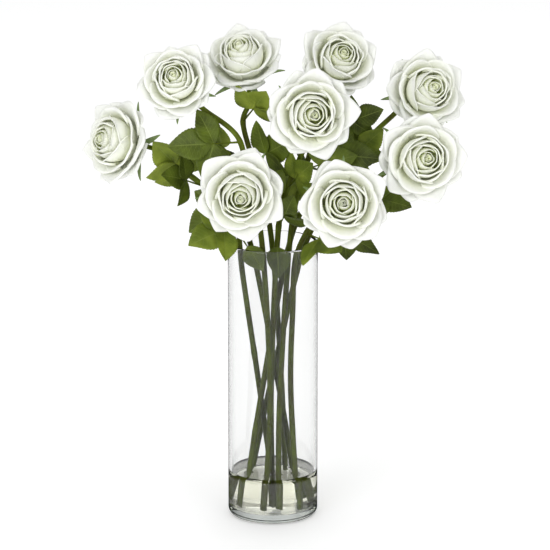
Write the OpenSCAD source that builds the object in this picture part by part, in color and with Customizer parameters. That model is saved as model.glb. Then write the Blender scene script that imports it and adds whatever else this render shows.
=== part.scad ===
// Nine-stem rose arrangement cast into a tall glass cylinder vase.
//
// The heavy-based glass cylinder stands on the table. A puddle of clear cast resin, which
// passes for water, fills its foot and grips the cut ends of nine artificial rose stems.
// Each stem is a moulded tube round a steel wire and ends in a calyx whose peg carries
// three layers of fabric petals. Leaf sprays branch from the stems.
//
// Millimetres. +Z is up and the origin is the centre of the vase's foot. -Y is the front.

/* [Vase] */
// Outside diameter of the glass cylinder
vase_d = 100; // [98:1:108]
// Height of the glass cylinder
vase_h = 315; // [306:1:316]
// Thickness of the glass wall
wall_t = 3.5; // [3:0.25:4]
// Thickness of the heavy glass base
base_t = 10; // [8:0.5:10]
// Height of the cast resin's surface above the table
resin_level = 51; // [45:1:60]

/* [Stems] */
// Diameter of a stem at its cut foot
stem_foot_d = 6.6; // [5.6:0.2:6.8]
// Diameter of a stem where it enters the calyx
stem_top_d = 5; // [4.4:0.2:5.2]
// Diameter of the steel wire inside a stem
wire_d = 2; // [1.2:0.2:2.2]

/* [Flowers] */
// Diameter across the outer petals of a fully open flower
flower_d = 98; // [90:1:100]
// Length of a sepal from the flower's axis
sepal_l = 47; // [40:1:52]

/* [Leaves] */
// Thickness of a leaf blade
leaf_t = 0.8; // [0.6:0.1:1]
// Diameter of a leaf stalk
stalk_d = 1.8; // [1.4:0.2:2.2]

/* [Hidden] */
ROSE_COUNT = 9;
LAYERS = ["stem", "calyx", "outer_petals", "middle_petals", "inner_petals", "leaves"];
$fn = 96;

vase_r = vase_d / 2;
bore_r = vase_r - wall_t;
foot_round = 8;           // radius of the rounded outside corner at the foot
floor_round = 5;          // radius of the fillet where the wall meets the floor
meniscus_w = 4;           // how far the resin's climbing edge reaches in from the wall
meniscus_h = 3;           // how far it climbs

head_scale = flower_d / 98;   // the petal profiles below are drawn for a 98 mm flower
petal_lobes = 5;
stem_sides = 8;
stem_steps = 3;               // rings between two route points
seat_depth = 5;               // how far below the head's base a stem ends, inside the calyx
calyx_h = 12;
peg_r = 5.4;
wire_fit = 0.2;               // radial gap between a stem's bore and its wire
grip_fit = 0.05;              // radial gap between the resin and a stem that it grips

// One row a rose: centre of the head, yaw and pitch that it faces in degrees, size.
// Yaw 0 faces the front (-Y), positive yaw turns towards +X, and pitch is above level.
HEADS = [
    [[-174, 10, 426], -50, 16, 0.96],    // 1 far left
    [[-106, -20, 501], -10, 26, 0.88],   // 2 upper left
    [[-33, 45, 512], -12, 53, 0.90],     // 3 top
    [[74, 45, 511], 20, 36, 0.92],       // 4 top right
    [[42, -50, 471], 5, 16, 1.00],       // 5 centre
    [[170, 50, 474], 19, 23, 0.94],      // 6 upper right
    [[164, -20, 413], 12, 9, 1.00],      // 7 right
    [[78, -75, 377], 2, 10, 1.00],       // 8 lower right
    [[-34, -75, 387], 3, 6, 1.00]        // 9 lower left
];
head_rise = 28;               // from a head's base to its centre, along its axis

// Each stem's route from its cut foot, past the bundle's waist and the vase's mouth, up to
// where it turns to its flower. Points are chosen so that the stems cross without touching.
ROUTES = [
    [[28, 8, 12], [7, 5, 144], [-27, 16, 315], [-60, 34, 355], [-98, 50, 382]],
    [[-9, -27, 12], [-3, -17, 144], [-12, -9, 315], [-27, 0, 378], [-38, 9, 430]],
    [[15, 30, 12], [10, 22, 144], [-2, 24, 315], [-20, 32, 390], [-33, 50, 436]],
    [[6, -26, 12], [8, -10, 144], [19, 1, 315], [30, 18, 372], [50, 52, 432]],
    [[0, -12, 12], [-2, -7, 144], [5, -6, 315], [14, -2, 370], [34, 2, 420]],
    [[-32, -16, 12], [-12, -4, 144], [20, 12, 315], [52, 36, 364], [104, 72, 412]],
    [[-30, 14, 12], [-3, 16, 144], [38, 6, 315], [73, 14, 350], [114, 28, 378]],
    [[27, -26, 12], [20, -2, 144], [22, -11, 240], [25, -14, 298], [43, -8, 336]],
    [[3, 2, 12], [-15, 5, 144], [-28, -6, 240], [-35, -14, 298], [-38, -12, 338]]
];

// Leaf sprays: rose number, height at which the stalk leaves the stem, where its last
// leaflet starts, the side that the leaves face, pairs of side leaflets, leaflet length.
SPRAYS = [
    [1, 376, [-109, 23, 398], [-0.2, -1, 0.3], 2, 40],
    [1, 366, [-98, 12, 382], [-0.3, -0.9, 0.4], 1, 36],
    [1, 345, [-64, 62, 356], [-0.2, 0.8, 0.6], 1, 38],
    [2, 424, [-68, -10, 428], [0, -1, 0.3], 1, 46],
    [2, 376, [-62, -4, 352], [-0.2, -1, 0.5], 1, 38],
    [2, 400, [-57, 28, 417], [-0.3, 0.8, 0.5], 1, 36],
    [3, 438, [-20, 22, 462], [0, -1, 0.2], 1, 38],
    [3, 396, [-6, 14, 412], [0.1, -1, 0.4], 1, 42],
    [3, 372, [-42, 60, 384], [0, 0.8, 0.6], 2, 38],
    [4, 392, [24, 66, 410], [0.2, 0.8, 0.6], 2, 38],
    [4, 402, [72, 20, 408], [0.1, -1, 0.5], 1, 44],
    [4, 422, [92, 32, 446], [0.2, -1, 0.3], 1, 32],
    [5, 344, [-10, -10, 370], [-0.2, -1, 0.5], 1, 40],
    [5, 376, [26, -18, 392], [0.2, -1, 0.7], 1, 36],
    [5, 322, [5, -15, 312], [0, -1, 0.4], 0, 34],
    [5, 392, [54, 4, 402], [0.1, -1, 0.5], 1, 38],
    [5, 334, [13, -24, 350], [0.1, -1, 0.3], 1, 36],
    [6, 386, [98, 38, 412], [0.3, -1, 0.5], 2, 34],
    [6, 330, [18, 42, 354], [0, -1, 0.3], 1, 40],
    [6, 372, [68, 88, 368], [0.3, 0.8, 0.5], 1, 38],
    [7, 334, [82, 0, 320], [0.4, -0.6, 0.8], 1, 38],
    [7, 350, [88, 46, 352], [0.2, 0.8, 0.6], 1, 38],
    [7, 364, [122, 0, 362], [0.3, -0.8, 0.7], 1, 36],
    [8, 328, [53, -37, 327], [0.2, -1, 0.4], 1, 44],
    [9, 334, [-56, -28, 334], [-0.3, -1, 0.5], 1, 44],
    [9, 328, [-28, -21, 314], [0.2, -1, 0.2], 0, 30]
];

// ---------------------------------------------------------------- helpers

function unit(v) = v / norm(v);

// The way a head faces, from its yaw and pitch.
function facing(i) = let (yaw = HEADS[i][1], pitch = HEADS[i][2])
    [cos(pitch) * sin(yaw), -cos(pitch) * cos(yaw), sin(pitch)];

function size_of(i) = HEADS[i][3] * head_scale;

function head_base(i) = HEADS[i][0] - head_rise * size_of(i) * facing(i);

// Points on an arc round a centre, for profiles.
function arc(centre, r, from, to, steps = 8) =
    [for (k = [0:steps]) let (a = from + (to - from) * k / steps)
        centre + r * [cos(a), sin(a)]];

// Catmull-Rom curve through four points, at t from 0 to 1 between b and c.
function between(a, b, c, d, t) =
    0.5 * (2 * b + (c - a) * t + (2 * a - 5 * b + 4 * c - d) * t * t
        + (3 * b - a - 3 * c + d) * t * t * t);

function smooth_route(p) = let (last = len(p) - 1) concat(
    [for (i = [0:last - 1], k = [0:stem_steps - 1])
        between(p[max(i - 1, 0)], p[i], p[i + 1], p[min(i + 2, last)], k / stem_steps)],
    [p[last]]
);

// A stem's whole line: its route, a bend that swings round to the head's axis, and a short
// straight into the calyx.
function stem_line(i) = let (
    start = ROUTES[i][len(ROUTES[i]) - 1],
    corner = head_base(i) - 44 * facing(i),
    end = head_base(i) - 21 * facing(i)
) smooth_route(concat(
    ROUTES[i],
    [for (t = [0.4, 0.72, 1]) (1 - t) * (1 - t) * start + 2 * t * (1 - t) * corner
        + t * t * end],
    [for (back = [13, seat_depth]) head_base(i) - back * facing(i)]
));

function stem_radius(share) = (stem_foot_d + (stem_top_d - stem_foot_d) * share) / 2;

// Where a spray's stalk starts: just clear of its stem's side, at the height it is given.
function stalk_start(s) = let (
    line = stem_line(s[0] - 1),
    k = [for (j = [0:len(line) - 2]) if (line[j][2] <= s[1] && s[1] < line[j + 1][2]) j][0],
    share = (s[1] - line[k][2]) / (line[k + 1][2] - line[k][2]),
    point = line[k] + share * (line[k + 1] - line[k]),
    out = unit(s[2] - point),
    slant = abs(out * unit(line[k + 1] - line[k])),
    r = stem_radius(k / (len(line) - 1)) + grip_fit
) point + out * (r + slant * stalk_d / 2) / sqrt(1 - slant * slant);

// The direction square to the plane that a stem bends in, so that its rings don't twist.
function bend_axis(i) = let (line = stem_line(i), last = len(line) - 1)
    unit(cross(line[last] - line[0], facing(i)));

// Points of one ring of a swept tube, square to the line at point k.
function ring(line, k, r, bend) = let (
    last = len(line) - 1,
    along = unit(line[min(k + 1, last)] - line[max(k - 1, 0)]),
    side = unit(cross(along, bend)),
    up = cross(along, side)
) [for (s = [0:stem_sides - 1]) let (a = 360 * s / stem_sides)
    line[k] + r * (cos(a) * side + sin(a) * up)];

// A rod along a line, with its radius from one end to the other.
module rod(line, r_start, r_end, bend) {
    n = stem_sides;
    last = len(line) - 1;
    points = [for (k = [0:last])
        each ring(line, k, r_start + (r_end - r_start) * k / last, bend)];
    walls = [for (k = [0:last - 1], s = [0:n - 1]) let (t = (s + 1) % n)
        [k * n + s, (k + 1) * n + s, (k + 1) * n + t, k * n + t]];
    polyhedron(points, concat(
        [[for (s = [0:n - 1]) s]],
        walls,
        [[for (s = [n - 1:-1:0]) last * n + s]]
    ));
}

// A tube along a line: outer wall, bore wall, and a flat annulus at each end.
module tube(line, r_start, r_end, bore, bend) {
    n = stem_sides;
    last = len(line) - 1;
    inner = (last + 1) * n;
    points = concat(
        [for (k = [0:last]) each ring(line, k, r_start + (r_end - r_start) * k / last, bend)],
        [for (k = [0:last]) each ring(line, k, bore, bend)]
    );
    faces = [for (s = [0:n - 1]) let (t = (s + 1) % n) each concat(
        [for (k = [0:last - 1]) each [
            [k * n + s, (k + 1) * n + s, (k + 1) * n + t, k * n + t],
            [inner + k * n + t, inner + (k + 1) * n + t,
                inner + (k + 1) * n + s, inner + k * n + s]
        ]],
        [[s, t, inner + t, inner + s],
            [inner + last * n + s, inner + last * n + t, last * n + t, last * n + s]]
    )];
    polyhedron(points, faces);
}

// Moves children from a head's own frame, +Z along its axis, to its place.
module at_head(i) {
    translate(head_base(i)) rotate([0, 0, HEADS[i][1]]) rotate([90 - HEADS[i][2], 0, 0])
        rotate([0, 0, 31 * i]) scale(size_of(i)) children();
}

// Moves children so that +X runs from one point to another and +Z leans towards normal.
module along(from, to, normal) {
    x = unit(to - from);
    z = unit(normal - (normal * x) * x);
    y = cross(z, x);
    multmatrix([
        [x[0], y[0], z[0], from[0]],
        [x[1], y[1], z[1], from[1]],
        [x[2], y[2], z[2], from[2]],
        [0, 0, 0, 1]
    ]) children();
}

// ---------------------------------------------------------------- vase and resin

// The floor's fillet, from the floor up to the wall.
floor_arc = arc([bore_r - floor_round, base_t + floor_round], floor_round, -90, 0);

module vase_glass() {
    rim_r = wall_t / 2;
    color("lightcyan", 0.4) rotate_extrude() polygon(concat(
        [[0, 0]],
        arc([vase_r - foot_round, foot_round], foot_round, -90, 0),
        arc([vase_r - rim_r, vase_h - rim_r], rim_r, 0, 180),
        [for (k = [len(floor_arc) - 1:-1:0]) floor_arc[k]],
        [[0, base_t]]
    ));
}

module cast_resin_water() {
    color("honeydew", 0.5) difference() {
        rotate_extrude() polygon(concat(
            [[0, base_t]],
            floor_arc,
            [[bore_r, resin_level + meniscus_h]],
            [for (k = [1:4]) [bore_r - meniscus_w * k / 4,
                resin_level + meniscus_h * pow(1 - k / 4, 2.5)]],
            [[0, resin_level]]
        ));
        for (i = [0:ROSE_COUNT - 1]) stem_body(i);
    }
}

// ---------------------------------------------------------------- one rose

// The solid outside of a stem, for cutting the hole that the resin sets round.
module stem_body(i) {
    line = stem_line(i);
    rod([for (k = [0:stem_steps + 1]) line[k]], stem_radius(0) + grip_fit,
        stem_radius((stem_steps + 1) / (len(line) - 1)) + grip_fit, bend_axis(i));
}

module stem(i) {
    color("olivedrab") tube(stem_line(i), stem_radius(0), stem_radius(1),
        wire_d / 2 + wire_fit, bend_axis(i));
}

module stem_wires() {
    color("silver") for (i = [0:ROSE_COUNT - 1])
        rod(stem_line(i), wire_d / 2, wire_d / 2, bend_axis(i));
}

module sepal_outline() {
    polygon([[3, -2.6], [14, -3.6], [26, -2.8], [38, -1.3], [sepal_l, -0.3],
        [sepal_l, 0.3], [38, 1.3], [26, 2.8], [14, 3.6], [3, 2.6]]);
}

module calyx(i) {
    color("yellowgreen") at_head(i) {
        difference() {
            union() {
                rotate_extrude() polygon([[0, -calyx_h], [3.6, -calyx_h], [5.6, -9],
                    [6.6, -5], [6.4, -0.4], [peg_r, -0.4], [peg_r, 9.2], [0, 9.2]]);
                for (k = [0:petal_lobes - 1]) rotate([0, -3, 72 * k + 20])
                    translate([0, 0, -3.4]) linear_extrude(1) sepal_outline();
            }
            translate([0, 0, -calyx_h - 1])
                cylinder(h = calyx_h + 1 - seat_depth / size_of(i) + 0.3,
                    r = stem_top_d / 2 / size_of(i) + 0.12);
        }
    }
}

// A layer of petals: a dished ring, trimmed to overlapping round lobes.
module petal_layer(profile, lobe_r, lobe_at, turn) {
    intersection() {
        rotate_extrude() polygon(profile);
        linear_extrude(70) union() {
            for (k = [0:petal_lobes - 1]) rotate(72 * k + turn) translate([lobe_at, 0])
                circle(lobe_r);
            circle(lobe_at);
        }
    }
}

module outer_petals(i) {
    color("ivory") at_head(i) petal_layer([[6, 0], [20, 5], [33, 14], [43, 25], [49, 33],
        [49.5, 36], [48, 38], [42, 34], [33, 26], [24, 17], [14, 8], [6, 4]], 30, 21, 0);
}

module middle_petals(i) {
    color("snow") at_head(i) petal_layer([[6, 5], [13, 9.5], [22, 19], [29, 30], [34, 40],
        [37, 45], [37, 47.5], [35, 48], [31, 42], [26, 33], [20, 23], [12, 13.5],
        [6, 9]], 22, 16, 36);
}

module inner_petals(i) {
    color("honeydew") at_head(i) rotate_extrude() polygon([[0, 10], [6, 10], [11, 15],
        [18, 24], [23, 33], [26, 42], [26, 47], [24, 51], [21, 53], [20, 44], [19, 54],
        [14, 56], [13, 46], [12, 56.5], [7, 56], [6, 48], [5, 55], [0, 54]]);
}

// ---------------------------------------------------------------- leaves

// Outline of a leaflet that starts at the origin and runs to +X.
module leaflet_outline(l) {
    polygon(l * [[0, -0.03], [0.12, -0.2], [0.32, -0.35], [0.55, -0.37], [0.78, -0.25],
        [0.93, -0.1], [1, 0], [0.93, 0.1], [0.78, 0.25], [0.55, 0.37], [0.32, 0.35],
        [0.12, 0.2], [0, 0.03]]);
}

module leaflet(l) {
    translate([0, 0, -leaf_t / 2]) linear_extrude(leaf_t) leaflet_outline(l);
}

// A stalk with a leaflet at its end and pairs of smaller ones along it.
module spray(s) {
    start = stalk_start(s);
    l = norm(s[2] - start);
    along(start, s[2], s[3]) {
        rotate([0, 90, 0]) cylinder(h = l + 1, d = stalk_d);
        translate([l, 0, 0]) leaflet(s[5]);
        for (pair = [0:1:s[4] - 1], side = [-1, 1])
            translate([l * (0.9 - 0.5 * pair), 0, 0]) rotate([0, 0, side * 68])
                leaflet(s[5] * 0.86);
    }
}

module leaves(i) {
    color("forestgreen") for (s = SPRAYS) if (s[0] == i + 1) spray(s);
}

// ---------------------------------------------------------------- nodes

module rose_layer(i, layer) {
    if (layer == "stem") stem(i);
    if (layer == "calyx") calyx(i);
    if (layer == "outer_petals") outer_petals(i);
    if (layer == "middle_petals") middle_petals(i);
    if (layer == "inner_petals") inner_petals(i);
    if (layer == "leaves") leaves(i);
}

vase_glass();
cast_resin_water();
stem_wires();
for (i = [0:ROSE_COUNT - 1], layer = LAYERS)
    rose_layer(i, layer);
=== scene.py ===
"""Looks for a tall glass cylinder vase of nine artificial white roses, set in clear resin.

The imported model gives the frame. Every visible piece is built here in mesh code, in
millimetres in the row frame, and scaled to metres as its mesh is made. A petal is a thin
sheet that follows a cupped profile and rolls back at its rim; a leaflet is a serrated blade
with sunken veins; a stem is a tube swept along its route.
"""

import math
import random

import bpy
import numpy as np
from mathutils import Matrix, Vector


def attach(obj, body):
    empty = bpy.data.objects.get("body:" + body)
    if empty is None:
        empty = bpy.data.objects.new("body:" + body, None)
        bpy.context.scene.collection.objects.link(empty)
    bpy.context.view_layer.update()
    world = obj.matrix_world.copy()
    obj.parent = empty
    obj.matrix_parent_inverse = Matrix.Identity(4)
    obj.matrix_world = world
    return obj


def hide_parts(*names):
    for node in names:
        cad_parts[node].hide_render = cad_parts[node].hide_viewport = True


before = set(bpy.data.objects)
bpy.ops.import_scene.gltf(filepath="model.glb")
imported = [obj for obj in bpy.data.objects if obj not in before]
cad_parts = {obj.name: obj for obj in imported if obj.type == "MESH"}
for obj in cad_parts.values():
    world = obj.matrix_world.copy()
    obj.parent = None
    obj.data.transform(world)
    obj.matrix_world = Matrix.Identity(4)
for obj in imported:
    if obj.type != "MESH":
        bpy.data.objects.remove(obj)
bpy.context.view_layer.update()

MM = 0.001

# ------------------------------------------------------------------ sizes, in millimetres

VASE_R = 50.0
VASE_H = 315.0
WALL_T = 3.5
BASE_T = 10.0
FOOT_ROUND = 8.0
FLOOR_ROUND = 5.0
BORE_R = VASE_R - WALL_T
RESIN_LEVEL = 51.0
MENISCUS_W = 3.0
MENISCUS_H = 1.2

RESIN_OVERLAP = 0.15
VASE_SIDES = 192
RESIN_SIDES = 160

STEM_FOOT_R = 3.3
STEM_TOP_R = 2.5
STEM_SIDES = 18
STEM_STEPS = 10
SEAT_DEPTH = 5.0
HEAD_RISE = 28.0

PETAL_T = 0.5
SEPAL_T = 0.7
LEAF_T = 0.35

# Shapes of a leaflet, as shares of its length or counts along it.
LEAF_HALF_WIDTH = 0.40
END_LEAFLET = 1.06
SIDE_LEAFLET = 0.92
LEAF_TEETH = 13
VEINS = 9
VEIN_SLANT = 2.2

# One row a rose: centre of the head, yaw and pitch that it faces, size, and spin about its
# own axis, in degrees.
HEADS = [
    ((-174, 10, 426), -50, 16, 0.96, 0),
    ((-106, -20, 501), -10, 26, 0.88, 31),
    ((-33, 45, 512), -12, 53, 0.90, 62),
    ((74, 45, 511), 20, 36, 0.92, 93),
    ((42, -50, 471), 5, 16, 1.00, 124),
    ((170, 50, 474), 19, 23, 0.94, 155),
    ((164, -20, 413), 12, 9, 1.00, 186),
    ((78, -75, 377), 2, 10, 1.00, 217),
    ((-34, -75, 387), 3, 6, 1.00, 248),
]

# Each stem's route from its cut foot to where it turns to its flower.
ROUTES = [
    [(28, 8, 12), (7, 5, 144), (-27, 16, 315), (-60, 34, 355), (-98, 50, 382)],
    [(-9, -27, 12), (-3, -17, 144), (-12, -9, 315), (-27, 0, 378), (-38, 9, 430)],
    [(15, 30, 12), (10, 22, 144), (-2, 24, 315), (-20, 32, 390), (-33, 50, 436)],
    [(6, -26, 12), (8, -10, 144), (19, 1, 315), (30, 18, 372), (50, 52, 432)],
    [(0, -12, 12), (-2, -7, 144), (5, -6, 315), (14, -2, 370), (34, 2, 420)],
    [(-32, -16, 12), (-12, -4, 144), (20, 12, 315), (52, 36, 364), (104, 72, 412)],
    [(-30, 14, 12), (-3, 16, 144), (38, 6, 315), (73, 14, 350), (114, 28, 378)],
    [(27, -26, 12), (20, -2, 144), (22, -11, 240), (25, -14, 298), (43, -8, 336)],
    [(3, 2, 12), (-15, 5, 144), (-28, -6, 240), (-35, -14, 298), (-38, -12, 338)],
]

# Leaf sprays: rose number, height at which the stalk leaves the stem, where its last
# leaflet starts, the side that the leaves face, pairs of side leaflets, leaflet length.
SPRAYS = [
    (1, 376, (-109, 23, 398), (-0.2, -1, 0.3), 2, 40),
    (1, 366, (-98, 12, 382), (-0.3, -0.9, 0.4), 1, 36),
    (1, 345, (-64, 62, 356), (-0.2, 0.8, 0.6), 1, 38),
    (2, 424, (-68, -10, 428), (0, -1, 0.3), 1, 46),
    (2, 376, (-62, -4, 352), (-0.2, -1, 0.5), 1, 38),
    (2, 400, (-57, 28, 417), (-0.3, 0.8, 0.5), 1, 36),
    (3, 438, (-20, 22, 462), (0, -1, 0.2), 1, 38),
    (3, 396, (-6, 14, 412), (0.1, -1, 0.4), 1, 42),
    (3, 372, (-42, 60, 384), (0, 0.8, 0.6), 2, 38),
    (4, 392, (24, 66, 410), (0.2, 0.8, 0.6), 2, 38),
    (4, 402, (72, 20, 408), (0.1, -1, 0.5), 1, 44),
    (4, 422, (92, 32, 446), (0.2, -1, 0.3), 1, 32),
    (5, 344, (-10, -10, 370), (-0.2, -1, 0.5), 1, 40),
    (5, 376, (26, -18, 392), (0.2, -1, 0.7), 1, 36),
    (5, 322, (5, -15, 312), (0, -1, 0.4), 0, 34),
    (5, 392, (54, 4, 402), (0.1, -1, 0.5), 1, 38),
    (5, 334, (13, -24, 350), (0.1, -1, 0.3), 1, 36),
    (6, 386, (98, 38, 412), (0.3, -1, 0.5), 2, 34),
    (6, 330, (18, 42, 354), (0, -1, 0.3), 1, 40),
    (6, 372, (68, 88, 368), (0.3, 0.8, 0.5), 1, 38),
    (7, 334, (82, 0, 320), (0.4, -0.6, 0.8), 1, 38),
    (7, 350, (88, 46, 352), (0.2, 0.8, 0.6), 1, 38),
    (7, 364, (122, 0, 362), (0.3, -0.8, 0.7), 1, 36),
    (8, 328, (53, -37, 327), (0.2, -1, 0.4), 1, 44),
    (9, 334, (-56, -28, 334), (-0.3, -1, 0.5), 1, 44),
    (9, 328, (-28, -21, 314), (0.2, -1, 0.2), 0, 30),
]

# ------------------------------------------------------------------ vectors and meshes


def unit(v):
    v = np.asarray(v, float)
    return v / np.linalg.norm(v)


def smoothstep(x):
    x = np.clip(x, 0.0, 1.0)
    return x * x * (3 - 2 * x)


def turned(axis, degrees):
    """A 3 x 3 rotation about the X, Y or Z axis."""
    return np.array(Matrix.Rotation(math.radians(degrees), 3, axis))


class Parts:
    """Vertices, faces and per-vertex UV and tint, gathered into one mesh."""

    def __init__(self):
        self.points = []
        self.faces = []
        self.uv = []
        self.tint = []
        self.count = 0

    def add(self, points, faces, uv, tint):
        points = np.asarray(points, float).reshape(-1, 3)
        n = len(points)
        self.points.append(points)
        self.faces.extend([tuple(int(i) + self.count for i in f) for f in faces])
        self.uv.append(np.asarray(uv, float).reshape(-1, 2))
        self.tint.append(np.broadcast_to(np.asarray(tint, float).ravel(), (n,)))
        self.count += n

    def add_grid(self, points, uv, tint):
        """A sheet: points is (rows, columns, 3)."""
        rows, cols = points.shape[:2]
        faces = [
            (r * cols + c, r * cols + c + 1, (r + 1) * cols + c + 1, (r + 1) * cols + c)
            for r in range(rows - 1)
            for c in range(cols - 1)
        ]
        self.add(points, faces, uv, tint)

    def add_tube(self, points):
        """A tube: points is (rings, sides, 3). V of its UV runs along it in millimetres."""
        rings, sides = points.shape[:2]
        faces = [
            (r * sides + s, r * sides + (s + 1) % sides,
             (r + 1) * sides + (s + 1) % sides, (r + 1) * sides + s)
            for r in range(rings - 1)
            for s in range(sides)
        ]
        faces.append(tuple(range(sides))[::-1])
        faces.append(tuple((rings - 1) * sides + s for s in range(sides)))
        steps = np.linalg.norm(np.diff(points.mean(axis=1), axis=0), axis=1)
        run = np.concatenate([[0], np.cumsum(steps)])
        uv = np.stack(
            np.broadcast_arrays(np.arange(sides)[None, :] / sides, run[:, None]), axis=-1
        )
        self.add(points, faces, uv, 0.0)

    def build(self, name, material, thickness=0.0):
        """The mesh object, in metres. A sheet gets its thickness from a Solidify."""
        mesh = bpy.data.meshes.new(name)
        mesh.from_pydata((np.concatenate(self.points) * MM).tolist(), [], self.faces)
        uv = np.concatenate(self.uv)
        loops = np.zeros(len(mesh.loops), np.int32)
        mesh.loops.foreach_get("vertex_index", loops)
        layer = mesh.uv_layers.new(name="UVMap")
        layer.data.foreach_set("uv", uv[loops].astype(np.float32).ravel())
        attribute = mesh.attributes.new("tint", "FLOAT", "POINT")
        attribute.data.foreach_set(
            "value", np.concatenate(self.tint).astype(np.float32)
        )
        mesh.polygons.foreach_set("use_smooth", np.ones(len(mesh.polygons), bool))
        mesh.update()
        ob = bpy.data.objects.new(name, mesh)
        bpy.context.scene.collection.objects.link(ob)
        mesh.materials.append(material)
        if thickness:
            thick = ob.modifiers.new("thickness", "SOLIDIFY")
            thick.thickness = thickness * MM
            thick.offset = 0.0
        return ob


def finish_piece(ob, slot, *nodes):
    """Ties a piece to the root body and hides the CAD nodes whose place it takes; its material
    slot is not used.
    """
    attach(ob, "root")
    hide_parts(*nodes)


# ------------------------------------------------------------------ materials


class Shader:
    """A node material with short calls for the nodes that the patterns use."""

    def __init__(self, name):
        self.material = bpy.data.materials.new(name)
        self.material.use_nodes = True
        self.nodes = self.material.node_tree.nodes
        self.links = self.material.node_tree.links
        self.bsdf = self.nodes["Principled BSDF"]
        self.output = self.nodes["Material Output"]

    def node(self, kind, **settings):
        node = self.nodes.new(kind)
        for key, value in settings.items():
            setattr(node, key, value)
        return node

    def link(self, source, target):
        self.links.new(source, target)

    def set(self, **values):
        for key, value in values.items():
            self.bsdf.inputs[key.replace("_", " ")].default_value = value

    def math(self, operation, a, b=0.0):
        node = self.node("ShaderNodeMath", operation=operation)
        for socket, value in zip(node.inputs, (a, b)):
            if isinstance(value, (int, float)):
                socket.default_value = value
            else:
                self.link(value, socket)
        return node.outputs[0]

    def ramp(self, factor, stops):
        node = self.node("ShaderNodeValToRGB")
        elements = node.color_ramp.elements
        while len(elements) < len(stops):
            elements.new(0.5)
        for element, (place, colour) in zip(elements, stops):
            element.position = place
            element.color = (*colour, 1)
        self.link(factor, node.inputs[0])
        return node.outputs[0]

    def mix(self, factor, a, b, blend="MIX"):
        node = self.node("ShaderNodeMix", data_type="RGBA", blend_type=blend)
        for socket, value in zip((node.inputs[0], node.inputs[6], node.inputs[7]),
                                 (factor, a, b)):
            if isinstance(value, (int, float)):
                socket.default_value = value
            elif isinstance(value, tuple):
                socket.default_value = (*value, 1)
            else:
                self.link(value, socket)
        return node.outputs[2]

    def noise(self, scale, detail, coords=None):
        node = self.node("ShaderNodeTexNoise")
        node.inputs["Scale"].default_value = scale
        node.inputs["Detail"].default_value = detail
        if coords is None:
            coords = self.node("ShaderNodeTexCoord").outputs["Object"]
        self.link(coords, node.inputs["Vector"])
        return node.outputs["Fac"]

    def uv(self, scale=(1, 1, 1)):
        """The mesh's own UV, stretched."""
        coords = self.node("ShaderNodeTexCoord").outputs["UV"]
        mapping = self.node("ShaderNodeMapping")
        mapping.inputs["Scale"].default_value = scale
        self.link(coords, mapping.inputs["Vector"])
        return mapping.outputs[0]

    def tint(self):
        """The value that each vertex carries: on a petal, how much painted shade of the folds it
        gets, more in the inner whorls; on a leaflet, its own tone.
        """
        return self.node("ShaderNodeAttribute", attribute_name="tint").outputs["Fac"]

    def let_through(self, share, colour):
        """Mixes in a Translucent shader."""
        back = self.node("ShaderNodeBsdfTranslucent")
        back.inputs["Color"].default_value = (*colour, 1)
        mix = self.node("ShaderNodeMixShader")
        mix.inputs[0].default_value = share
        self.link(self.bsdf.outputs[0], mix.inputs[1])
        self.link(back.outputs[0], mix.inputs[2])
        self.link(mix.outputs[0], self.output.inputs["Surface"])

    def bump(self, height, distance, strength):
        node = self.node("ShaderNodeBump")
        node.inputs["Strength"].default_value = strength
        node.inputs["Distance"].default_value = distance
        self.link(height, node.inputs["Height"])
        self.link(node.outputs[0], self.bsdf.inputs["Normal"])


def petal_material():
    """White fabric. Thin cloth lets light through, which fills the folds of a flower. Towards the
    flower's centre and the foot of each petal the colour is painted darker and yellow-green, as
    painted shade of the folds.
    """
    s = Shader("petal_fabric")
    s.set(Roughness=0.62)
    s.bsdf.inputs["Sheen Weight"].default_value = 0.1
    blotch = s.noise(60, 2)
    streak = s.noise(1.0, 4, s.uv((26, 2.2, 1)))
    patches = s.math("MULTIPLY", s.math("SUBTRACT", blotch, 0.5), 0.25)
    # Painted shade of the folds: the ramp below makes a petal darker and yellow-green where the
    # per-vertex value is high, with random blotches on top.
    fold_shade = s.math("ADD", s.tint(), patches)
    colour = s.ramp(fold_shade, [
        (0.12, (0.96, 0.963, 0.95)),
        (0.36, (0.955, 0.968, 0.86)),
        (0.65, (0.91, 0.955, 0.58)),
        (1.0, (0.84, 0.90, 0.36)),
    ])
    shade = s.ramp(streak, [(0.3, (0.97, 0.975, 0.965)), (0.6, (1, 1, 1))])
    s.link(s.mix(1.0, colour, shade, "MULTIPLY"), s.bsdf.inputs["Base Color"])
    weave = s.noise(2600, 1)
    height = s.math("ADD", streak, s.math("MULTIPLY", weave, 0.25))
    s.bump(height, 0.0006, 0.45)
    s.let_through(0.12, (0.92, 0.95, 0.75))
    return s.material


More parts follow.
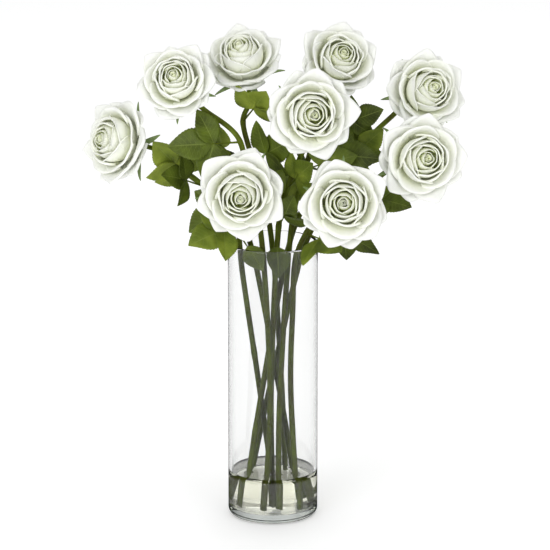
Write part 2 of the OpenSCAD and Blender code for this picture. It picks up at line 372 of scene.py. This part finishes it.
def leaf_material():
    """A leaf: U of the UV runs from stalk to tip, V across, with the midrib at 0.5."""
    s = Shader("leaf_fabric")
    s.set(Roughness=0.42, Specular_IOR_Level=0.35)
    parts = s.node("ShaderNodeSeparateXYZ")
    s.link(s.uv(), parts.inputs[0])
    from_rib = s.math("SUBTRACT", parts.outputs[1], 0.5)
    across = s.math("ABSOLUTE", s.math("MULTIPLY", from_rib, 2.0))
    step = s.math("SUBTRACT", s.math("MULTIPLY", parts.outputs[0], VEINS),
                  s.math("MULTIPLY", across, VEIN_SLANT))
    saw = s.math("ABSOLUTE", s.math("SUBTRACT", s.math("FRACT", step), 0.5))
    side = s.math("GREATER_THAN", saw, 0.455)
    rib = s.math("LESS_THAN", across, 0.035)
    veins = s.math("MAXIMUM", s.math("MULTIPLY", side, 0.5), rib)
    patches = s.noise(55, 4)
    fine = s.noise(900, 2)
    tone = s.math("ADD", patches, s.math("MULTIPLY", s.tint(), 0.35))
    colour = s.ramp(tone, [
        (0.2, (0.045, 0.062, 0.006)),
        (0.6, (0.13, 0.18, 0.016)),
        (1.0, (0.31, 0.38, 0.045)),
    ])
    colour = s.mix(s.math("MULTIPLY", veins, 0.55), colour, (0.25, 0.31, 0.06))
    s.link(colour, s.bsdf.inputs["Base Color"])
    height = s.math("SUBTRACT", s.math("MULTIPLY", fine, 0.35), s.math("MULTIPLY", veins, 0.8))
    s.bump(height, 0.0004, 0.5)
    return s.material


def stem_material():
    """Olive green that runs to brown in long streaks."""
    s = Shader("stem_green")
    s.set(Roughness=0.5, Specular_IOR_Level=0.25)
    long_noise = s.noise(1.0, 3, s.uv((3, 0.05, 1)))
    patches = s.noise(30, 4)
    tone = s.math("ADD", s.math("MULTIPLY", long_noise, 0.5), s.math("MULTIPLY", patches, 0.5))
    colour = s.ramp(tone, [
        (0.3, (0.06, 0.05, 0.004)),
        (0.5, (0.105, 0.14, 0.004)),
        (0.7, (0.19, 0.27, 0.008)),
    ])
    s.link(colour, s.bsdf.inputs["Base Color"])
    s.bump(s.noise(500, 2), 0.0003, 0.25)
    return s.material


def calyx_material():
    s = Shader("calyx_green")
    s.set(Roughness=0.5)
    patches = s.noise(90, 4)
    colour = s.ramp(patches, [(0.3, (0.14, 0.21, 0.06)), (0.7, (0.26, 0.36, 0.13))])
    s.link(colour, s.bsdf.inputs["Base Color"])
    s.bump(s.noise(1.0, 3, s.uv((14, 3, 1))), 0.0004, 0.4)
    return s.material


def steel_material():
    s = Shader("wire_steel")
    s.set(Metallic=1.0)
    s.link(s.ramp(s.noise(400, 3), [(0.3, (0.42, 0.41, 0.40)), (0.7, (0.60, 0.59, 0.57))]),
           s.bsdf.inputs["Base Color"])
    s.link(s.ramp(s.noise(900, 2), [(0.3, (0.28,) * 3), (0.7, (0.45,) * 3)]),
           s.bsdf.inputs["Roughness"])
    return s.material


def clear_material(name, ior, shadow_colour, ripple, absorb, density):
    """Glass or resin that lets lamps through: to a shadow ray it is a plain tint. Its body
    takes up a little light, so that it is darker where it is seen edge on."""
    s = Shader(name)
    s.set(Roughness=0.0, IOR=ior, Transmission_Weight=1.0)
    s.bsdf.inputs["Base Color"].default_value = (1, 1, 1, 1)
    s.bump(s.noise(ripple, 1), 0.0002, 0.06)
    path = s.node("ShaderNodeLightPath")
    clear = s.node("ShaderNodeBsdfTransparent")
    clear.inputs[0].default_value = (*shadow_colour, 1)
    mix = s.node("ShaderNodeMixShader")
    s.link(path.outputs["Is Shadow Ray"], mix.inputs[0])
    s.link(s.bsdf.outputs[0], mix.inputs[1])
    s.link(clear.outputs[0], mix.inputs[2])
    s.link(mix.outputs[0], s.output.inputs["Surface"])
    body = s.node("ShaderNodeVolumeAbsorption")
    body.inputs["Color"].default_value = (*absorb, 1)
    body.inputs["Density"].default_value = density
    s.link(body.outputs[0], s.output.inputs["Volume"])
    return s.material


# ------------------------------------------------------------------ vase and resin


def arc(cx, cz, r, start, end, steps):
    angles = np.radians(np.linspace(start, end, steps + 1))
    return [(cx + r * math.cos(a), cz + r * math.sin(a)) for a in angles]


def run_of(a, b, steps):
    """Points from a towards b, without b."""
    return [tuple(np.array(a) + (np.array(b) - np.array(a)) * k / steps) for k in range(steps)]


def lathe(profile, sides):
    """Points and faces of a closed body of revolution, its profile from axis to axis."""
    ring = profile[1:-1]
    angles = np.radians(np.arange(sides) * 360 / sides)
    points = [(0, 0, profile[0][1])]
    for r, z in ring:
        points.extend((r * math.cos(a), r * math.sin(a), z) for a in angles)
    points.append((0, 0, profile[-1][1]))
    faces = []
    n = len(ring)
    for s in range(sides):
        t = (s + 1) % sides
        faces.append((0, 1 + t, 1 + s))
        for k in range(n - 1):
            a = 1 + k * sides
            faces.append((a + s, a + t, a + sides + t, a + sides + s))
        faces.append((1 + (n - 1) * sides + s, 1 + (n - 1) * sides + t, 1 + n * sides))
    return np.array(points, float), faces


def make_vase(material):
    rim = WALL_T / 2
    profile = [(0, 0), (14, 0), (28, 0)]
    profile += arc(VASE_R - FOOT_ROUND, FOOT_ROUND, FOOT_ROUND, -90, 0, 12)
    profile += run_of((VASE_R, FOOT_ROUND + 8), (VASE_R, VASE_H - rim), 12)
    profile += arc(VASE_R - rim, VASE_H - rim, rim, 0, 180, 12)
    profile += run_of((BORE_R, VASE_H - rim - 12), (BORE_R, BASE_T + FLOOR_ROUND), 12)
    profile += arc(BORE_R - FLOOR_ROUND, BASE_T + FLOOR_ROUND, FLOOR_ROUND, 0, -90, 10)
    profile += [(28, BASE_T), (14, BASE_T), (0, BASE_T)]
    points, faces = lathe(profile, VASE_SIDES)
    parts = Parts()
    parts.add(points, faces, points[:, :2] / 100, 0.0)
    ob = parts.build("vase", material)
    finish_piece(ob, "clear_glass", "vase_glass")


def resin_top(points, lines):
    """Raises the resin's surface where it climbs the glass and each stem."""
    top = points[:, 2] > RESIN_LEVEL - 0.01
    r = np.hypot(points[:, 0], points[:, 1])
    climb = np.clip((r - (BORE_R - MENISCUS_W)) / MENISCUS_W, 0, 1)
    rise = MENISCUS_H * climb ** 2.5
    for line in lines:
        k = int(np.argmin(np.abs(line[:, 2] - RESIN_LEVEL)))
        d = np.hypot(points[:, 0] - line[k, 0], points[:, 1] - line[k, 1])
        rise = rise + 0.5 * np.exp(-np.clip(d - STEM_FOOT_R, 0, None) / 1.0)
    points[:, 2] += np.where(top, rise, 0.0)
    return points


def make_resin(material, lines):
    """Its skin lies a little inside the glass, so that the two read as one clear body."""
    side_r = BORE_R + RESIN_OVERLAP
    foot_z = BASE_T - RESIN_OVERLAP
    round_r = FLOOR_ROUND + RESIN_OVERLAP
    profile = [(0, foot_z), (20, foot_z)]
    profile += arc(BORE_R - FLOOR_ROUND, BASE_T + FLOOR_ROUND, round_r, -90, 0, 10)
    profile += run_of((side_r, BASE_T + FLOOR_ROUND + 3), (side_r, RESIN_LEVEL - 0.5), 6)
    profile += [(side_r, RESIN_LEVEL)]
    profile += [(r, RESIN_LEVEL) for r in np.arange(BORE_R - 0.2, 0.5, -0.9)]
    profile += [(0, RESIN_LEVEL)]
    points, faces = lathe(profile, RESIN_SIDES)
    points = resin_top(points, lines)
    parts = Parts()
    parts.add(points, faces, points[:, :2] / 100, 0.0)
    ob = parts.build("resin", material)
    finish_piece(ob, "clear_resin", "cast_resin_water")


# ------------------------------------------------------------------ stems


def facing(head):
    """The way a head faces, from its yaw and pitch."""
    yaw, pitch = math.radians(head[1]), math.radians(head[2])
    return np.array([
        math.cos(pitch) * math.sin(yaw), -math.cos(pitch) * math.cos(yaw), math.sin(pitch)])


def head_base(head):
    """Where a head's petals start, behind its centre."""
    return np.array(head[0], float) - HEAD_RISE * head[3] * facing(head)


def between(a, b, c, d, t):
    """Catmull-Rom curve from b to c."""
    return 0.5 * (2 * b + (c - a) * t + (2 * a - 5 * b + 4 * c - d) * t ** 2
                  + (3 * b - a - 3 * c + d) * t ** 3)


def stem_line(i):
    """The middle of a stem, from its foot to its seat in the calyx."""
    head = HEADS[i]
    base, axis = head_base(head), facing(head)
    start = np.array(ROUTES[i][-1], float)
    corner, end = base - 44 * axis, base - 21 * axis
    p = [np.array(q, float) for q in ROUTES[i]]
    p += [(1 - t) ** 2 * start + 2 * t * (1 - t) * corner + t * t * end for t in (0.4, 0.72, 1)]
    p += [base - 13 * axis, base - SEAT_DEPTH * axis]
    last = len(p) - 1
    line = [
        between(p[max(k - 1, 0)], p[k], p[k + 1], p[min(k + 2, last)], s / STEM_STEPS)
        for k in range(last)
        for s in range(STEM_STEPS)
    ]
    return np.array(line + [p[last]])


def sweep(line, radii, sides, bend):
    """Rings of points square to a line. bend is a direction that the line never runs along."""
    along = np.gradient(line, axis=0)
    along /= np.linalg.norm(along, axis=1)[:, None]
    side = np.cross(along, bend)
    side /= np.linalg.norm(side, axis=1)[:, None]
    up = np.cross(along, side)
    a = np.radians(np.arange(sides) * 360 / sides)
    ring = np.cos(a)[None, :, None] * side[:, None, :] + np.sin(a)[None, :, None] * up[:, None, :]
    return line[:, None, :] + np.asarray(radii)[:, None, None] * ring


def make_stem(i, line, material):
    """A stem with a knuckle at each leaf stalk and at two places lower down, and a foot that
    was cut on the slant."""
    rng = random.Random(100 + i)
    bend = unit(np.cross(line[-1] - line[0], facing(HEADS[i])))
    share = np.linspace(0, 1, len(line))
    radii = STEM_FOOT_R + (STEM_TOP_R - STEM_FOOT_R) * share
    heights = line[:, 2]
    knuckles = [s[1] for s in SPRAYS if s[0] == i + 1]
    knuckles += [rng.uniform(180, 230), rng.uniform(85, 120)]
    for z in knuckles:
        radii = radii + 0.45 * np.exp(-((heights - z) / 2.6) ** 2)
    rings = sweep(line, radii, STEM_SIDES, bend)
    slant = np.cos(np.radians(np.arange(STEM_SIDES) * 360 / STEM_SIDES + rng.uniform(0, 360)))
    rings[0, :, 2] += 1.2 + 1.2 * slant
    parts = Parts()
    parts.add_tube(rings)
    ob = parts.build(f"rose_{i + 1}_stem_tube", material)
    finish_piece(ob, "stem_green", f"rose_{i + 1}_stem")


# ------------------------------------------------------------------ petals

# One row a whorl, for a 98 mm flower: layer, petals, half-angle, profile from the base to
# the fold line as (radius, height) control points, how far the sides fall short of the tip,
# roll radius, roll in degrees at the tip and at the sides, lap over the next petal, ruffle.
WHORLS = [
    ("inner", 3, 82, ((3, 22), (7, 28), (9.5, 44), (5.2, 54.6)), 0.05, 0.7, 60, 100, 0.8, 0.3),
    ("inner", 3, 80, ((5, 18), (12, 24), (14.6, 44), (9.3, 53.2)), 0.06, 0.9, 80, 120, 0.9, 0.5),
    ("inner", 3, 78, ((6, 14), (17, 20), (19.4, 41), (13.4, 51.2)), 0.08, 1.1, 90, 140, 1.0, 0.7),
    ("inner", 4, 62, ((8, 11), (21, 15), (24, 38), (17.8, 48.6)), 0.12, 1.2, 95, 160, 1.1, 0.9),
    ("middle", 4, 62, ((8, 9), (24, 11), (28, 35), (22.9, 45.2)), 0.14, 1.4, 100, 170, 1.3, 1.1),
    ("middle", 5, 52, ((8, 8), (28, 10), (27, 32), (36.5, 39)), 0.26, 1.3, 40, 180, 1.2, 1.0),
    ("outer", 5, 46, ((8, 4), (31, 4), (29, 28), (48.0, 34.0)), 0.40, 1.4, 60, 200, 1.8, 2.0),
    ("outer", 5, 43, ((8, 2), (33, 1), (30, 18), (46.0, 24.0)), 0.40, 1.5, 60, 200, 2.0, 2.2),
]

# A whorl whose rim stands wider than this opens outwards; the others close over the bud.
FLARE_R = 30
PETAL_COLS = 27
PETAL_ROWS = 16
ROLL_ROWS = 9


def bezier(p, t):
    """Point and heading on a cubic Bezier of (radius, height) points, for an array of t."""
    t = np.asarray(t, float)[..., None]
    point = ((1 - t) ** 3 * p[0] + 3 * t * (1 - t) ** 2 * p[1]
             + 3 * t ** 2 * (1 - t) * p[2] + t ** 3 * p[3])
    slope = (3 * (1 - t) ** 2 * (p[1] - p[0]) + 6 * t * (1 - t) * (p[2] - p[1])
             + 3 * t ** 2 * (p[3] - p[2]))
    return point, np.arctan2(slope[..., 1], slope[..., 0])


def soft_noise(rng, u, t, size):
    """A few slow waves over a sheet."""
    total = 0
    for _ in range(4):
        wave = rng.uniform(1.5, 4.5) * u + rng.uniform(2, 6) * t + rng.uniform(0, 6.3)
        total = total + np.sin(wave)
    return size * total / 4


def petal(rng, whorl, centre, fold_shade_strength):
    """One petal as a grid of points, with its UV and, at each point, how much painted shade of
    the folds it gets, more in the inner whorls and towards the petal's foot.
    """
    _, _, half, profile, short, roll_r, roll_tip, roll_side, lap, ruffle = whorl
    u = np.linspace(-1, 1, PETAL_COLS)
    flared = profile[3][0] > FLARE_R
    profile = np.array(profile, float)

    # The tip stands a little further in or out and higher or lower than its neighbours'.
    swing = rng.uniform(-1, 1)
    profile[3] += np.array([-1.0, 2.0]) * swing * (1.8 if flared else 0.5)
    profile[3] += np.array([1.0, 0.3]) * rng.uniform(-1, 1) * (2.0 if flared else 0.2)

    # The sides stop short of the tip, which is not quite in the middle.
    side = u - 0.25 * rng.uniform(-1, 1) * (1 - u * u)
    reach = 1 - short * rng.uniform(0.75, 1.1) * np.abs(side) ** (1.05 if flared else 2.0)
    reach = reach - (0.1 if flared else 0.22) * np.abs(u) ** 6
    t = np.linspace(0, 1, PETAL_ROWS)[:, None] * reach[None, :]
    rz, heading = bezier(profile, t)

    # The rim rolls back, more tightly and further round at the sides.
    turn = roll_tip + (roll_side - roll_tip) * np.abs(side) ** 0.8
    turn = np.radians(turn * rng.uniform(0.8, 1.1))
    soft = 2.4 if flared else 1.3
    radius = roll_r * rng.uniform(0.85, 1.2) * (soft + (1 - soft) * np.abs(side) ** 0.6)
    rolled, headings = [], []
    at = rz[-1]
    for k in range(ROLL_ROWS):
        angle = heading[-1] - turn * (k + 0.5) / ROLL_ROWS
        step = (radius * turn / ROLL_ROWS)[:, None]
        at = at + step * np.stack([np.cos(angle), np.sin(angle)], axis=-1)
        rolled.append(at)
        headings.append(heading[-1])
    rz = np.concatenate([rz, np.array(rolled)])
    heading = np.concatenate([heading, np.array(headings)])
    t = np.concatenate([t, np.repeat(t[-1:], ROLL_ROWS, axis=0)])

    # The sheet laps over its neighbour, waves slowly, ruffles at its rim and has a crease
    # down to its tip.
    wide = np.broadcast_to(u[None, :], t.shape)
    out = lap * wide * smoothstep(t / 0.4)
    out = out + soft_noise(rng, wide, t, ruffle) * t ** 2
    out = out + 0.5 * ruffle * np.sin(rng.uniform(6, 9) * wide + rng.uniform(0, 6.3)) * t ** 5
    ridge = (1.2 if flared else 0.4) * np.exp(-(side / 0.22) ** 2)[None, :] * t ** 4
    out = out - ridge

    # Out of the profile's plane and round the flower's axis.
    r = rz[..., 0] + out * np.sin(heading)
    z = rz[..., 1] - out * np.cos(heading)
    spread = 0.45 + 0.55 * smoothstep(t / 0.5)
    theta = math.radians(centre) + math.radians(half) * wide * spread
    points = np.stack([r * np.cos(theta), r * np.sin(theta), z], axis=-1)
    v = np.linspace(0, 1, len(rz))[:, None]
    uv = np.stack(np.broadcast_arrays((u[None, :] + 1) / 2, v), axis=-1)
    # Painted shade of the folds: strongest at the petal's foot, fading towards its rim.
    tint = fold_shade_strength * np.clip(1.18 - t, 0, 1) ** 0.7
    return points, uv, tint


def heart(parts, rng, place):
    """The scrolled strip at the flower's centre."""
    turns = 2.3
    a = np.linspace(0, turns * 2 * math.pi, 80)
    r = 0.8 + 3.0 * a / a[-1]
    rows = np.linspace(0, 1, 9)[:, None]
    top = 55.0 - 1.6 * (a / a[-1])[None, :] + 0.5 * np.sin(a * 1.3 + rng.uniform(0, 6))[None, :]
    z = 30 + (top - 30) * rows
    flare = 1 + 0.14 * rows ** 6
    start = rng.uniform(0, 6.3)
    points = np.stack(np.broadcast_arrays(
        r[None, :] * flare * np.cos(a + start)[None, :],
        r[None, :] * flare * np.sin(a + start)[None, :], z), axis=-1)
    uv = np.stack(np.broadcast_arrays(a[None, :] / 10, rows), axis=-1)
    # Painted shade of the folds: the scroll is darker and yellow-green at its foot, paler at its
    # top.
    parts.add_grid(place(points), uv, np.broadcast_to(1.0 - 0.55 * rows, points.shape[:2]))


def make_flower(i, material):
    """A rose's three layers of petals, set on its calyx and turned the way it faces."""
    head = HEADS[i]
    rng = random.Random(7 + 13 * i)
    turn = turned("Z", head[1]) @ turned("X", 90 - head[2]) @ turned("Z", head[4])
    base = head_base(head)

    # The bud leans a little its own way, most at the tip.
    lean = np.array([math.cos(7.0 * i), math.sin(7.0 * i), 0]) * 2.5

    def place(points):
        points = points + lean * (points[..., 2:] / 50) ** 3
        return points @ turn.T * head[3] + base

    layers = {"inner": Parts(), "middle": Parts(), "outer": Parts()}
    heart(layers["inner"], rng, place)
    start = rng.uniform(0, 360)
    for k, whorl in enumerate(WHORLS):
        count = whorl[1]
        start += 180 / count + rng.uniform(-12, 12)
        # Inner whorls get stronger painted shade of the folds.
        fold_shade_strength = 1.1 - 0.13 * k
        for n in range(count):
            centre = start + 360 / count * (n + rng.uniform(-0.07, 0.07))
            points, uv, tint = petal(rng, whorl, centre, fold_shade_strength)
            layers[whorl[0]].add_grid(place(points), uv, tint)
    for layer, parts in layers.items():
        ob = parts.build(f"rose_{i + 1}_{layer}_whorl", material, PETAL_T)
        finish_piece(ob, "petal_white", f"rose_{i + 1}_{layer}_petals")


# ------------------------------------------------------------------ calyx and leaves

BLADE_ROWS = 66
BLADE_COLS = 11


def blade(length, rng, droop, fold, ruffle):
    """A leaf blade from the origin along +X, facing +Z, with its UV. It has a toothed edge,
    droops to its tip, folds up along its midrib and ruffles at its sides."""
    s = np.linspace(0, 1, BLADE_ROWS)
    half = LEAF_HALF_WIDTH * length * np.sin(math.pi * s ** 0.85) ** 0.8 * (1 - 0.25 * s ** 2)
    half = np.maximum(half, 0.012 * length)
    half = half * (1 + 0.07 * ((s * LEAF_TEETH) % 1.0 - 0.5) * (s > 0.12) * (s < 0.97))
    c = np.linspace(-1, 1, BLADE_COLS)
    y = half[:, None] * c[None, :]
    x = length * s[:, None]
    bend = -droop * length * s[:, None] ** 2
    cup = fold * np.abs(y)
    phase = rng.uniform(0, 6.3)
    wave = np.sin(s[:, None] * 10 + phase + 1.5 * np.sign(c)[None, :])
    wavy = ruffle * length * wave * c[None, :] ** 2
    veins = (s[:, None] * VEINS - VEIN_SLANT * np.abs(c)[None, :]) % 1.0
    groove = -0.012 * length * np.exp(-((np.abs(veins - 0.5) - 0.5) / 0.13) ** 2)
    groove = groove * (np.abs(c)[None, :] < 0.95) * np.sin(math.pi * s)[:, None] ** 0.5
    z = bend + cup + wavy + groove
    points = np.stack(np.broadcast_arrays(x, y, z), axis=-1)
    uv = np.stack(np.broadcast_arrays(s[:, None], (c[None, :] + 1) / 2), axis=-1)
    return points, uv


def make_calyx(i, material):
    """The round hip under a flower, and its five sepals."""
    head = HEADS[i]
    rng = random.Random(400 + i)
    turn = turned("Z", head[1]) @ turned("X", 90 - head[2]) @ turned("Z", head[4])
    base = head_base(head)

    def place(points):
        return points @ turn.T * head[3] + base

    cup = [(0, -12), (2.6, -12), (3.4, -11.6), (4.2, -10.4), (5.6, -8.4), (6.6, -5.6),
           (6.9, -3.4), (6.6, -1.4), (5.4, 0.4), (3, 1.2), (0, 1.4)]
    points, faces = lathe(cup, 28)
    parts = Parts()
    parts.add(place(points), faces, points[:, :2] / 10, 0.0)
    ob = parts.build(f"rose_{i + 1}_hip", material)
    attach(ob, "root")
    sepals = Parts()
    for k in range(5):
        length = rng.uniform(46, 51)
        s = np.linspace(0, 1, 30)
        r = 5.5 + (length - 5.5) * s
        z = -4.2 + 3.5 * s ** 1.4 + 5 * s ** 2 - rng.uniform(2, 9) * s ** 5
        half = 3.9 * np.sin(math.pi * (0.12 + 0.88 * s)) ** 0.7 * (1 - 0.3 * s) + 0.15
        c = np.linspace(-1, 1, 7)
        sway = rng.uniform(-4, 4) * s ** 3
        angle = 72 * k + 20 + rng.uniform(-6, 6)
        local = np.stack(np.broadcast_arrays(
            r[:, None], half[:, None] * c[None, :] + sway[:, None],
            z[:, None] - 0.25 * np.abs(half[:, None] * c[None, :])), axis=-1)
        local = local @ turned("Z", angle).T
        uv = np.stack(np.broadcast_arrays(s[:, None], (c[None, :] + 1) / 2), axis=-1)
        sepals.add_grid(place(local), uv, 0.0)
    ob = sepals.build(f"rose_{i + 1}_sepals", material, SEPAL_T)
    finish_piece(ob, "calyx_green", f"rose_{i + 1}_calyx")


def make_leaves(i, line, blade_look, stalk_look):
    """A rose's leaf sprays: a thin stalk, a leaflet at its end and pairs along its sides."""
    rng = random.Random(900 + i)
    blades, stalks = Parts(), Parts()
    for spray in SPRAYS:
        if spray[0] != i + 1:
            continue
        _, height, end, normal, pairs, length = spray
        k = int(np.argmin(np.abs(line[:, 2] - height)))
        start = line[k]
        end = np.array(end, float)
        run = np.linalg.norm(end - start)
        x = unit(end - start)
        z = unit(np.array(normal, float) - np.dot(normal, x) * x)
        y = np.cross(z, x)
        axes = np.stack([x, y, z], axis=1)
        tone = rng.uniform(-0.6, 0.9)

        def add_leaflet(at, yaw, size):
            points, uv = blade(size, rng, droop=rng.uniform(0.05, 0.22),
                               fold=rng.uniform(0.05, 0.28), ruffle=rng.uniform(0.008, 0.02))
            roll, dip = rng.uniform(-14, 14), rng.uniform(-8, 6)
            tilt = turned("Z", yaw) @ turned("X", roll) @ turned("Y", dip)
            points = points @ tilt.T
            points = points @ axes.T + at
            blades.add_grid(points, uv, tone + rng.uniform(-0.25, 0.25))

        sag = np.linspace(0, 1, 14)
        rod = start + (end - start) * sag[:, None] + np.outer(-1.2 * np.sin(math.pi * sag), z)
        radii = 1.25 - 0.5 * sag
        stalks.add_tube(sweep(rod, radii, 8, y))
        add_leaflet(end, rng.uniform(-6, 6), END_LEAFLET * length)
        for pair in range(pairs):
            at = start + x * run * (0.9 - 0.5 * pair)
            for side in (-1, 1):
                add_leaflet(at, side * (66 + rng.uniform(-6, 8)), length * SIDE_LEAFLET)
    ob = blades.build(f"rose_{i + 1}_blades", blade_look, LEAF_T)
    finish_piece(ob, "leaf_green", f"rose_{i + 1}_leaves")
    ob = stalks.build(f"rose_{i + 1}_stalks", stalk_look)
    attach(ob, "root")


# ------------------------------------------------------------------ the object

glass = clear_material(
    "clear_glass", 1.5, (0.95, 0.955, 0.95), 25, (0.44, 0.5, 0.46), 9)
resin = clear_material(
    "clear_resin", 1.48, (0.97, 0.97, 0.90), 40, (0.955, 0.945, 0.25), 3)
petals = petal_material()
leaf_look = leaf_material()
stem_look = stem_material()
calyx_look = calyx_material()

lines = [stem_line(i) for i in range(len(HEADS))]
make_vase(glass)
make_resin(resin, lines)
for i, line in enumerate(lines):
    make_stem(i, line, stem_look)
    make_calyx(i, calyx_look)
    make_leaves(i, line, leaf_look, stem_look)
    make_flower(i, petals)

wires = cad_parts["stem_wires"]
wires.data.materials.clear()
wires.data.materials.append(steel_material())

# ------------------------------------------------------------------ stage

DOME_GLOW = 0.92
DOME_MIRRORED = 0.05
FLOOR_GLOW = 0.25
FLOOR_DIMMED = 0.96


def reflected_ray(nodes, links):
    """1 for a ray that has just been mirrored, 0 for one seen directly or through glass. The
    floor and dome are dim to it, as in a studio hung with black cloth behind the camera."""
    path = nodes.new("ShaderNodeLightPath")
    mirrored = nodes.new("ShaderNodeMath")
    mirrored.operation = "SUBTRACT"
    mirrored.use_clamp = True
    links.new(path.outputs["Is Glossy Ray"], mirrored.inputs[0])
    links.new(path.outputs["Is Transmission Ray"], mirrored.inputs[1])
    return mirrored.outputs[0]


def make_floor():
    """White paper that glows a little, so that it meets the dome without a line."""
    mesh = bpy.data.meshes.new("floor")
    half = 12.0
    mesh.from_pydata([(-half, -half, 0), (half, -half, 0), (half, half, 0), (-half, half, 0)],
                     [], [(0, 1, 2, 3)])
    floor = bpy.data.objects.new("floor", mesh)
    bpy.context.scene.collection.objects.link(floor)
    s = Shader("floor_paper")
    s.set(Roughness=0.9)
    s.bsdf.inputs["Base Color"].default_value = (0.93, 0.93, 0.93, 1)
    s.bsdf.inputs["Emission Color"].default_value = (1, 1, 1, 1)
    s.bsdf.inputs["Emission Strength"].default_value = FLOOR_GLOW
    dim = s.node("ShaderNodeBsdfDiffuse")
    dim.inputs["Color"].default_value = (0.02, 0.02, 0.02, 1)
    mix = s.node("ShaderNodeMixShader")
    mirrored = reflected_ray(s.nodes, s.links)
    s.link(s.math("MULTIPLY", mirrored, FLOOR_DIMMED), mix.inputs[0])
    s.link(s.bsdf.outputs[0], mix.inputs[1])
    s.link(dim.outputs[0], mix.inputs[2])
    s.link(mix.outputs[0], s.output.inputs["Surface"])
    mesh.materials.append(s.material)
    floor.location.z = -0.0002


def make_lamp(name, place, size, power):
    """A white softbox that looks at the middle of the object."""
    data = bpy.data.lights.new(name, "AREA")
    data.shape = "RECTANGLE"
    data.size, data.size_y = size
    data.energy = power
    lamp = bpy.data.objects.new(name, data)
    lamp.location = place
    aim = Vector((0, 0, 0.4)) - Vector(place)
    lamp.rotation_euler = aim.to_track_quat("-Z", "Y").to_euler()
    bpy.context.scene.collection.objects.link(lamp)


def make_world():
    """A bright dome that is greyer towards the sides, which draws the glass's edges."""
    world = bpy.data.worlds.new("studio")
    bpy.context.scene.world = world
    world.use_nodes = True
    nodes, links = world.node_tree.nodes, world.node_tree.links
    background = nodes["Background"]
    coords = nodes.new("ShaderNodeTexCoord")
    parts = nodes.new("ShaderNodeSeparateXYZ")
    side = nodes.new("ShaderNodeMath")
    side.operation = "ABSOLUTE"
    ramp = nodes.new("ShaderNodeValToRGB")
    ramp.color_ramp.elements[0].position = 0.25
    ramp.color_ramp.elements[0].color = (1, 1, 1, 1)
    ramp.color_ramp.elements[1].position = 0.95
    ramp.color_ramp.elements[1].color = (0.35, 0.36, 0.36, 1)
    links.new(coords.outputs["Generated"], parts.inputs[0])
    links.new(parts.outputs[0], side.inputs[0])
    links.new(side.outputs[0], ramp.inputs[0])
    links.new(ramp.outputs[0], background.inputs[0])
    glow = nodes.new("ShaderNodeMath")
    glow.operation = "MULTIPLY_ADD"
    glow.inputs[1].default_value = DOME_MIRRORED - DOME_GLOW
    glow.inputs[2].default_value = DOME_GLOW
    links.new(reflected_ray(nodes, links), glow.inputs[0])
    links.new(glow.outputs[0], background.inputs[1])


def make_camera():
    """A long lens, a little above the vase and tilted down at its middle."""
    data = bpy.data.cameras.new("camera")
    data.lens = 294.6
    data.sensor_width = 36.0
    data.clip_end = 100
    data.dof.use_dof = False
    camera = bpy.data.objects.new("camera", data)
    pitch = math.radians(15)
    distance = 5.0
    aim_x, aim_z = 0.0024, 0.276
    camera.location = (
        aim_x, -distance * math.cos(pitch), aim_z + distance * math.sin(pitch))
    camera.rotation_euler = (math.radians(90) - pitch, 0, 0)
    bpy.context.scene.collection.objects.link(camera)
    bpy.context.scene.camera = camera


make_floor()
make_lamp("key", (-1.8, -3.0, 1.7), (2.0, 1.6), 42)
make_lamp("fill", (2.0, -2.8, 1.1), (1.6, 1.6), 22)
make_lamp("back", (0.3, 2.2, 2.2), (2.0, 1.2), 8)
make_world()
make_camera()
bpy.context.scene.view_settings.view_transform = "Standard"
bpy.context.scene.cycles.diffuse_bounces = 8
# The clear materials already let lamps through, so focused light would count twice.
bpy.context.scene.cycles.caustics_refractive = False
